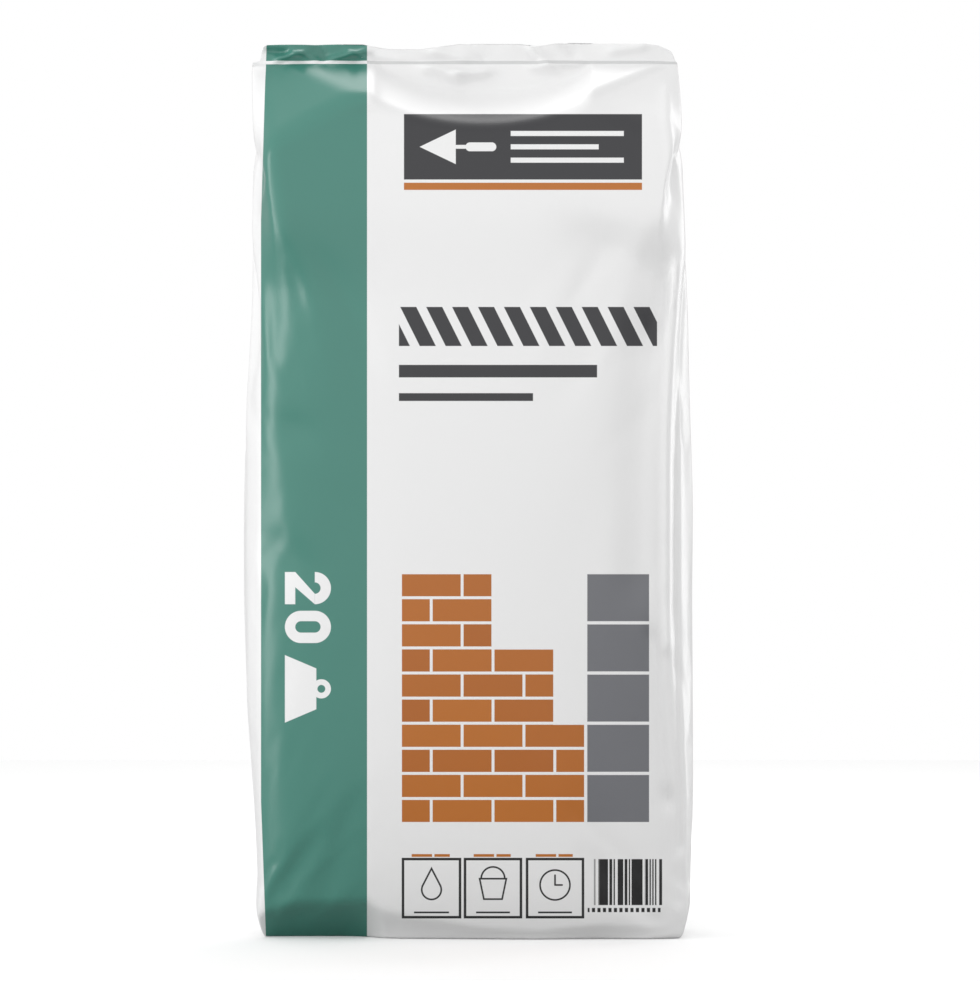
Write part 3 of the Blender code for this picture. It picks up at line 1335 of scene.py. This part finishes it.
    def draw_heading(self, sheet: Drawing, under: Socket) -> Socket:
        """The heading: a row of slanted stripes over two plain bars.

        Args:
            sheet: The drawing of the front.
            under: The colour below.

        Returns:
            The colour with the heading.
        """
        across, up = sheet.parts(sheet.place)
        slant = sheet.number("MULTIPLY_ADD", up, self.stripe_slant, across)
        wave = sheet.number("PINGPONG", slant, self.stripe_pitch / 2)
        stripe = sheet.number("SUBTRACT", wave, self.stripe_pitch * self.stripe_gap)
        stripe = sheet.within(sheet.box(*self.stripes), stripe)
        rows = [sheet.box(*row) for row in self.bar_rows]
        return sheet.lay(under, sheet.cover(sheet.both(stripe, *rows)), Ink.CHARCOAL)

    def draw_wall(self, sheet: Drawing, under: Socket) -> Socket:
        """The picture: a stepped brick wall beside a pier of grey blocks.

        Args:
            sheet: The drawing of the front.
            under: The colour below.

        Returns:
            The colour with the wall and the pier.
        """
        left, low = self.wall
        width, height = self.brick
        half = self.mortar / 2
        wall = [
            sheet.box(left, low, left + width * across - self.mortar, low + height * up - self.mortar)
            for up, across in self.wall_steps
        ]
        wall = sheet.both(*wall)
        bricks = sheet.tree.nodes.new("ShaderNodeTexBrick")
        corner = sheet.vector("SUBTRACT", sheet.place, (left - half, low - half, 0.0))
        sheet.tree.links.new(corner, bricks.inputs["Vector"])
        bricks.inputs["Color1"].default_value = Ink.ORANGE.opaque
        bricks.inputs["Color2"].default_value = Ink.RUST.opaque
        bricks.inputs["Mortar"].default_value = Ink.BARE.opaque
        bricks.inputs["Scale"].default_value = 1.0
        bricks.inputs["Mortar Size"].default_value = half
        bricks.inputs["Mortar Smooth"].default_value = 0.2
        bricks.inputs["Bias"].default_value = 0.0
        bricks.inputs["Brick Width"].default_value = width
        bricks.inputs["Row Height"].default_value = height
        built = sheet.lay(under, sheet.cover(wall), bricks.outputs["Color"])
        begin, end, tall = left + 3 * width, left + 4 * width, 2 * height
        blocks = [
            sheet.box(begin, low + tall * i, end, low + tall * (i + 1) - self.mortar)
            for i in range(self.pier_blocks)
        ]
        return sheet.lay(built, sheet.cover(sheet.both(*blocks)), Ink.GREY)

    def draw_foot(self, sheet: Drawing, under: Socket) -> Socket:
        """The foot: three framed signs for water, a bucket and time, and a block of plain bars.

        Args:
            sheet: The drawing of the front.
            under: The colour below.

        Returns:
            The colour with the signs and bars.
        """
        drawn = []
        for draw, (left, right) in zip((self.drop, self.bucket, self.clock), self.sign_boxes):
            drawn += self.sign_edge(sheet, left, right)
            drawn += draw(sheet, (left + right) / 2)
        drawn += self.plain_bars(sheet)
        dark = sheet.lay(under, sheet.cover(sheet.both(*drawn), self.fine_edge), Ink.BLACK)
        low, high = (self.sign_rows[1] + above for above in self.tab_rows)
        tabs = []
        for left, right in self.sign_boxes:
            tabs.append(sheet.box(left + 0.0055, low, left + 0.0185, high))
            tabs.append(sheet.box(left + 0.0200, low, right - 0.0065, high))
        return sheet.lay(dark, sheet.cover(sheet.both(*tabs)), Ink.ORANGE)

    @property
    def sign_middle(self) -> float:
        """Height of the signs' figures."""
        return sum(self.sign_rows) / 2 + 0.002

    def sign_edge(self, sheet: Drawing, left: float, right: float) -> list[Socket]:
        """A sign's frame and the line at its foot.

        Args:
            sheet: The drawing of the front.
            left: The sign's left side.
            right: The sign's right side.

        Returns:
            The frame and the line.
        """
        low, high = self.sign_rows
        edge = sheet.outline(sheet.box(left, low, right, high), self.sign_frame)
        return [edge, sheet.box(left + 0.007, low + 0.0025, right - 0.007, low + 0.0036)]

    def drop(self, sheet: Drawing, centre: float) -> list[Socket]:
        """A drop of water.

        Args:
            sheet: The drawing of the front.
            centre: Where the sign's middle is across.

        Returns:
            The drop's outline.
        """
        middle = self.sign_middle
        side = middle - 0.0001
        tip = sheet.convex((centre - 0.0055, side), (centre + 0.0055, side), (centre, middle + 0.0105))
        drop = sheet.both(sheet.disc(centre, middle - 0.003, 0.0062), tip)
        return [sheet.outline(drop, self.sign_stroke)]

    def bucket(self, sheet: Drawing, centre: float) -> list[Socket]:
        """A bucket and its handle.

        Args:
            sheet: The drawing of the front.
            centre: Where the sign's middle is across.

        Returns:
            The bucket's outline and its handle.
        """
        foot, rim = self.sign_middle - 0.009, self.sign_middle + 0.004
        body = sheet.convex(
            (centre - 0.0058, foot), (centre + 0.0058, foot), (centre + 0.0085, rim), (centre - 0.0085, rim)
        )
        handle = sheet.outline(sheet.disc(centre, rim, 0.0075), self.sign_stroke)
        above = sheet.box(centre - 0.02, rim, centre + 0.02, self.sign_middle + 0.02)
        return [sheet.outline(body, self.sign_stroke), sheet.within(handle, above)]

    def clock(self, sheet: Drawing, centre: float) -> list[Socket]:
        """A clock face with two hands.

        Args:
            sheet: The drawing of the front.
            centre: Where the sign's middle is across.

        Returns:
            The face and the hands.
        """
        middle = self.sign_middle
        face = sheet.outline(sheet.disc(centre, middle, 0.0095), self.sign_stroke)
        minutes = sheet.bar((centre, middle), (centre, middle + 0.0062), self.sign_stroke)
        hours = sheet.bar((centre, middle), (centre + 0.0045, middle), self.sign_stroke)
        return [face, minutes, hours]

    def plain_bars(self, sheet: Drawing) -> list[Socket]:
        """A block of upright bars of uneven widths over a row of dashes, which say nothing.

        Args:
            sheet: The drawing of the front.

        Returns:
            The bars and the dashes.
        """
        across, _ = sheet.parts(sheet.place)
        slot = sheet.number("FLOOR", sheet.number("DIVIDE", across, self.bar_slot))
        chance = sheet.tree.nodes.new("ShaderNodeTexWhiteNoise")
        chance.noise_dimensions = "1D"
        sheet.tree.links.new(slot, chance.inputs["W"])
        none = -self.bar_edge * self.bar_share
        inked = sheet.number("MULTIPLY_ADD", chance.outputs["Value"], self.bar_edge, none)
        wave = sheet.number("PINGPONG", across, self.dash_pitch / 2)
        dashes = sheet.number("SUBTRACT", wave, self.dash_half_width)
        left, low, right, _ = self.bars
        row = sheet.box(left - 0.004, low - 0.0045, right - 0.001, low - 0.0018)
        return [sheet.within(sheet.box(*self.bars), inked), sheet.within(row, dashes)]

    def draw_number(self, sheet: Drawing, under: Socket) -> Socket:
        """The plain number of kilograms and a weight beside it, read from the head down.

        Args:
            sheet: A drawing turned to read from the head down.
            under: The colour below.

        Returns:
            The colour with the number and the weight.
        """
        wide, tall = self.digit
        stroke = self.digit_stroke
        half = stroke / 2
        bowl = wide / 2
        centre = tall - bowl
        arch = sheet.outline(sheet.disc(bowl, centre, bowl - half), half)
        arch = sheet.within(arch, sheet.box(-0.01, centre, wide + 0.01, tall + 0.01))
        heel = stroke - 0.001
        leg = ((0.0, stroke), (0.0, heel), (0.0088, heel), (wide, centre), (wide - stroke, centre))
        shin = sheet.convex(*leg)
        foot = sheet.box(0.0, 0.0, wide, stroke)
        two = sheet.both(arch, shin, foot)
        begin = wide + self.digit_gap
        nought = sheet.bar((begin + bowl, bowl), (begin + bowl, tall - bowl), bowl - half)
        nought = sheet.outline(nought, half)
        far = self.weight_start
        body = sheet.convex((far, 0.0), (far + 0.0430, 0.0), (far + 0.0345, 0.0200), (far + 0.0085, 0.0200))
        ring = sheet.outline(sheet.disc(far + 0.0215, 0.0232, 0.0043), 0.0018)
        return sheet.lay(under, sheet.cover(sheet.both(two, nought, body, ring)), Ink.BARE)


@dataclass(frozen=True)
class PrintedFilm:
    """Satin white film with the print in inks, and the fine unevenness of thin film over powder."""

    sizes: SackSizes
    name: str = "printed_film"
    roughness: Place = (0.285, 0.355)
    gloss: float = 0.60
    broad_scale: float = 18.0
    fine_scale: float = 160.0
    bump_depth: float = 0.00005
    bump_strength: float = 0.5

    def build(self) -> bpy.types.Material:
        """Makes the material.

        Returns:
            The finish.
        """
        material = bpy.data.materials.new(self.name)
        material.use_nodes = True
        tree = material.node_tree
        shader = tree.nodes["Principled BSDF"]
        colour = Print(self.sizes.panel_half_width, self.sizes.weld_height).colour(tree)
        tree.links.new(colour, shader.inputs["Base Color"])
        shader.inputs["Specular IOR Level"].default_value = self.gloss
        where = tree.nodes.new("ShaderNodeTexCoord")
        broad = self.noise(tree, where, self.broad_scale, 1.0)
        spread = tree.nodes.new("ShaderNodeMapRange")
        spread.inputs["To Min"].default_value, spread.inputs["To Max"].default_value = self.roughness
        tree.links.new(broad, spread.inputs["Value"])
        tree.links.new(spread.outputs["Result"], shader.inputs["Roughness"])
        bump = tree.nodes.new("ShaderNodeBump")
        bump.inputs["Strength"].default_value = self.bump_strength
        bump.inputs["Distance"].default_value = self.bump_depth
        tree.links.new(self.noise(tree, where, self.fine_scale, 2.0), bump.inputs["Height"])
        tree.links.new(bump.outputs["Normal"], shader.inputs["Normal"])
        return material

    @staticmethod
    def noise(tree: bpy.types.NodeTree, where: bpy.types.Node, scale: float, detail: float) -> Socket:
        """An even noise on the sack's own coordinates.

        Args:
            tree: The material's nodes.
            where: The node that gives the coordinates.
            scale: How fine the noise is.
            detail: How many finer layers it has.

        Returns:
            The noise, from 0 to 1.
        """
        noise = tree.nodes.new("ShaderNodeTexNoise")
        noise.inputs["Scale"].default_value = scale
        noise.inputs["Detail"].default_value = detail
        tree.links.new(where.outputs["Object"], noise.inputs["Vector"])
        return noise.outputs["Fac"]


@dataclass(frozen=True)
class Softbox:
    """A softbox: its name, where it hangs, what it faces, its width and height, and its power."""

    name: str
    place: Point
    aim: Point
    size: Place
    watts: float

    def hang(self) -> None:
        """Adds the softbox to the scene, unseen by the camera."""
        lamp = bpy.data.lights.new(self.name, "AREA")
        lamp.shape = "RECTANGLE"
        lamp.size, lamp.size_y = self.size
        lamp.energy = self.watts
        holder = bpy.data.objects.new(self.name, lamp)
        holder.location = self.place
        holder.rotation_euler = (Vector(self.aim) - Vector(self.place)).to_track_quat("-Z", "Y").to_euler()
        holder.visible_camera = False
        bpy.context.scene.collection.objects.link(holder)


@dataclass(frozen=True)
class Studio:
    """A pale floor, soft light all round and a camera at the photograph's viewing angle."""

    camera_distance: float = 2.8
    camera_height: float = 0.288
    camera_side: float = 0.0146
    pixel_size: float = 0.00065
    frame_pixels: int = 981
    sensor_width: float = 36.0
    light_in_front: float = 1.17
    light_behind: float = -0.70
    light_above: float = 0.02
    floor_size: float = 3.6
    floor_colour: float = 0.82
    floor_glow: float = 0.20
    floor_bounce: float = 0.55
    softboxes: tuple[Softbox, ...] = (
        Softbox("left_softbox", (-1.45, -0.50, 0.42), (0, 0, 0.3), (0.50, 1.5), 9.5),
        Softbox("right_rim_light", (1.2, 0.9, 0.5), (0, 0, 0.3), (0.5, 1.6), 6.5),
        Softbox("back_top_softbox", (-0.10, 0.90, 2.00), (0, 0, 0.5), (1.6, 0.7), 8),
    )

    def add_camera(self) -> None:
        """Adds the camera, level and square on to the printed panel."""
        camera = bpy.data.cameras.new("camera")
        camera.sensor_width = self.sensor_width
        camera.lens = self.sensor_width * self.camera_distance / (self.pixel_size * self.frame_pixels)
        holder = bpy.data.objects.new("camera", camera)
        holder.location = (self.camera_side, -self.camera_distance, self.camera_height)
        holder.rotation_euler = (math.pi / 2, 0.0, 0.0)
        bpy.context.scene.collection.objects.link(holder)
        bpy.context.scene.camera = holder

    def add_floor(self) -> None:
        """Adds the pale floor, which the picture shows a little brighter than it lights the sack."""
        pale = bpy.data.materials.new("pale_floor")
        pale.use_nodes = True
        tree = pale.node_tree
        seen = tree.nodes["Principled BSDF"]
        seen.inputs["Base Color"].default_value = (*[self.floor_colour] * 3, 1.0)
        seen.inputs["Roughness"].default_value = 0.9
        seen.inputs["Emission Color"].default_value = WHITE
        seen.inputs["Emission Strength"].default_value = self.floor_glow
        seen.inputs["Specular IOR Level"].default_value = 0.0
        bounce = tree.nodes.new("ShaderNodeBsdfDiffuse")
        bounce.inputs["Color"].default_value = (*[self.floor_bounce] * 3, 1.0)
        self.mix_by_ray(tree, bounce, seen, "Material Output")
        bpy.ops.object.select_all(action="DESELECT")
        bpy.ops.mesh.primitive_plane_add(size=self.floor_size)
        floor = bpy.context.object
        floor.name = "studio_floor"
        floor.data.materials.append(pale)

    @staticmethod
    def mix_by_ray(
        tree: bpy.types.NodeTree, lighting: bpy.types.Node, seen: bpy.types.Node, output: str
    ) -> None:
        """Lets one shader light the sack while the picture shows another.

        Args:
            tree: The nodes of the floor or of the surroundings.
            lighting: The shader that lights the sack.
            seen: The shader that the picture shows.
            output: The output node's name.
        """
        path = tree.nodes.new("ShaderNodeLightPath")
        either = tree.nodes.new("ShaderNodeMixShader")
        tree.links.new(path.outputs["Is Camera Ray"], either.inputs["Fac"])
        tree.links.new(lighting.outputs[0], either.inputs[1])
        tree.links.new(seen.outputs[0], either.inputs[2])
        tree.links.new(either.outputs[0], tree.nodes[output].inputs["Surface"])

    def add_surroundings(self) -> None:
        """Adds a white backdrop all round, which lights the sack more from the front than from behind."""
        world = bpy.data.worlds.new("surroundings")
        world.use_nodes = True
        tree = world.node_tree
        seen = tree.nodes["Background"]
        seen.inputs["Color"].default_value = WHITE
        seen.inputs["Strength"].default_value = 1.0
        lighting = tree.nodes.new("ShaderNodeBackground")
        lighting.inputs["Color"].default_value = WHITE
        direction = tree.nodes.new("ShaderNodeTexCoord")
        maths = Drawing(tree, direction.outputs["Generated"])
        parts = tree.nodes.new("ShaderNodeSeparateXYZ")
        tree.links.new(direction.outputs["Generated"], parts.inputs[0])
        above = maths.number("MAXIMUM", parts.outputs[2], 0.0)
        behind = maths.number("MULTIPLY_ADD", parts.outputs[1], 0.5, 0.5)
        glow = maths.number("MULTIPLY_ADD", above, self.light_above, self.light_in_front)
        glow = maths.number("MULTIPLY_ADD", behind, self.light_behind, glow)
        tree.links.new(glow, lighting.inputs["Strength"])
        self.mix_by_ray(tree, lighting, seen, "World Output")
        bpy.context.scene.world = world

    def build(self) -> None:
        """Sets the camera, lights, floor and surroundings."""
        self.add_camera()
        self.add_floor()
        for softbox in self.softboxes:
            softbox.hang()
        self.add_surroundings()
        bpy.context.scene.view_settings.view_transform = "Standard"


def front_panel(sizes: SackSizes) -> PanelForm:
    """The printed front's forms.

    Args:
        sizes: The sack's sizes.

    Returns:
        The panel's shoulder, turn, creases and facets.
    """
    creases = (
        Crease((-0.0250, 0.5635), (-0.0060, 0.5585), 0.0034, 0.0046, 0.3),
        Crease((-0.0060, 0.5585), (0.0110, 0.5600), 0.0030, 0.0040, 0.3),
        Crease((0.0440, 0.5640), (0.0560, 0.5625), 0.0030, 0.0036, 0.3),
        Crease((0.0800, 0.5440), (0.1230, 0.5650), 0.0036, 0.0028, -0.4),
        Crease((0.1000, 0.5360), (0.1200, 0.5420), 0.0140, -0.0020),
        Crease((0.0860, 0.4440), (0.1060, 0.4330), 0.0150, -0.0050),
        Crease((0.1110, 0.3850), (0.1080, 0.2350), 0.0105, -0.0038),
        Crease((0.1275, 0.5450), (0.1285, 0.4100), 0.0032, 0.0024),
        Crease((0.1285, 0.4300), (0.1290, 0.1900), 0.0034, 0.0038),
        Crease((0.1342, 0.5200), (0.1345, 0.0600), 0.0021, -0.0030),
        Crease((0.1190, 0.1930), (0.1260, 0.0910), 0.0045, -0.0030),
        Crease((0.1260, 0.0910), (0.1310, 0.0270), 0.0045, -0.0026),
        Crease((-0.1240, 0.3290), (-0.1170, 0.3270), 0.0120, -0.0020),
        Crease((-0.1240, 0.2500), (-0.1180, 0.2450), 0.0120, -0.0024),
        FoldFacet(
            -1,
            (
                (0.000, -0.1245, 0.15),
                (0.046, -0.1225, 0.15),
                (0.116, -0.1200, 0.12),
                (0.186, -0.1255, 0.08),
                (0.244, -0.1265, 0.05),
                (0.282, -0.1215, 0.10),
                (0.326, -0.1245, 0.10),
                (0.378, -0.1190, 0.40),
                (0.409, -0.1195, 0.70),
                (0.460, -0.1160, 0.72),
                (0.499, -0.1200, 0.76),
                (0.524, -0.1240, 0.60),
                (0.543, -0.1260, 0.40),
            ),
        ),
        FoldFacet(
            1,
            (
                (0.00, 0.1365, 0.40),
                (0.20, 0.1355, 0.40),
                (0.40, 0.1345, 0.40),
                (0.54, 0.1320, 0.40),
            ),
        ),
    )
    turn = (
        (-0.140, 0.014, 0.022),
        (-0.126, 0.020, 0.018),
        (-0.112, 0.024, 0.017),
        (-0.078, 0.025, 0.017),
        (-0.064, 0.026, 0.021),
        (-0.054, 0.019, 0.030),
        (-0.040, 0.016, 0.033),
        (-0.020, 0.013, 0.034),
        (0.010, 0.008, 0.036),
        (0.045, 0.006, 0.038),
        (0.085, 0.010, 0.034),
        (0.115, 0.008, 0.036),
        (0.140, 0.012, 0.034),
    )
    return PanelForm(-1, Shoulder(sizes.weld_height), BottomTurn(turn), creases)


def back_panel(sizes: SackSizes) -> PanelForm:
    """The plain back's forms.

    Args:
        sizes: The sack's sizes.

    Returns:
        The panel's shoulder, turn and dents.
    """
    shoulder = Shoulder(
        sizes.weld_height,
        hollow_centre=0.018,
        hollow_half_width=0.060,
        hollow_drop=0.014,
        left_corner=0.120,
        right_corner=0.110,
        brow_depth=0.040,
        full_depth=0.058,
    )
    turn = (
        (-0.140, 0.012, 0.032),
        (-0.110, 0.014, 0.032),
        (-0.050, 0.010, 0.034),
        (0.000, 0.013, 0.033),
        (0.060, 0.020, 0.030),
        (0.110, 0.016, 0.030),
        (0.140, 0.012, 0.032),
    )
    creases = (
        Crease((0.0700, 0.4700), (0.0950, 0.4600), 0.0160, -0.0040),
        Crease((-0.1080, 0.2600), (-0.1060, 0.1600), 0.0110, -0.0025),
        Crease((-0.1200, 0.4050), (-0.1100, 0.4020), 0.0110, -0.0040),
    )
    return PanelForm(1, shoulder, BottomTurn(turn), creases, shoulder_share=0.8)


def main() -> None:
    """Builds the sack and the studio, and reports each."""
    logging.basicConfig(level=logging.INFO, format="%(name)s: %(message)s")
    sizes = SackSizes.from_frame(SACK_NODE)
    film = PrintedFilm(sizes).build()
    panels = (front_panel(sizes), back_panel(sizes))
    sack = FilmSack(sizes, FilledForm(sizes), panels=panels).build()
    sack.data.materials.clear()
    sack.data.materials.append(film)
    logger.info("%s has %d faces", sack.name, len(sack.data.polygons))
    Studio().build()
    logger.info("studio is set")


if __name__ == "__main__":
    main()
